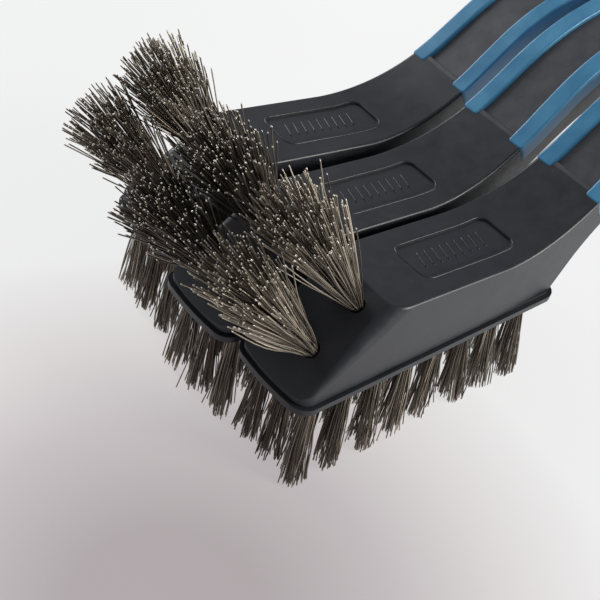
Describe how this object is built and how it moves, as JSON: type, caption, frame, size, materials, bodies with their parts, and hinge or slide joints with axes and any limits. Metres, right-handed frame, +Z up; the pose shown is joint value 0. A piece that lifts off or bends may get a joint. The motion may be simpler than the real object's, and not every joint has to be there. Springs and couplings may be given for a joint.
{
  "type": "grill cleaning brush set",
  "caption": "Wire brushes with a moulded cranked handle, soft grip rails, a field of wire tufts under the head and a fan of tufts on the nose, standing as a set.",
  "frame": {"origin": "middle of the set's bounding box, on the plane that the bristle tips stand on", "axes": "+X from the noses to the handle ends, +Y across from the near brush to the far one, +Z up out of the heads"},
  "size_m": [0.2856, 0.1, 0.1042],
  "materials": {
    "body_plastic": "moulded black plastic, fine satin grain",
    "grip": "blue soft-touch thermoplastic rubber, matte",
    "bristle_wire": "dark drawn steel wire",
    "staple_wire": "flat steel staple stock"
  },
  "bodies": {
    "root": {"near_body": "body_plastic", "near_left_rail": "grip", "near_right_rail": "grip", "near_bottom_bristles": "bristle_wire", "near_front_bristles": "bristle_wire", "near_bottom_staples": "staple_wire", "near_front_staples": "staple_wire", "middle_body": "body_plastic", "middle_left_rail": "grip", "middle_right_rail": "grip", "middle_bottom_bristles": "bristle_wire", "middle_front_bristles": "bristle_wire", "middle_bottom_staples": "staple_wire", "middle_front_staples": "staple_wire", "far_body": "body_plastic", "far_left_rail": "grip", "far_right_rail": "grip", "far_bottom_bristles": "bristle_wire", "far_front_bristles": "bristle_wire", "far_bottom_staples": "staple_wire", "far_front_staples": "staple_wire"}
  },
  "joints": []
}
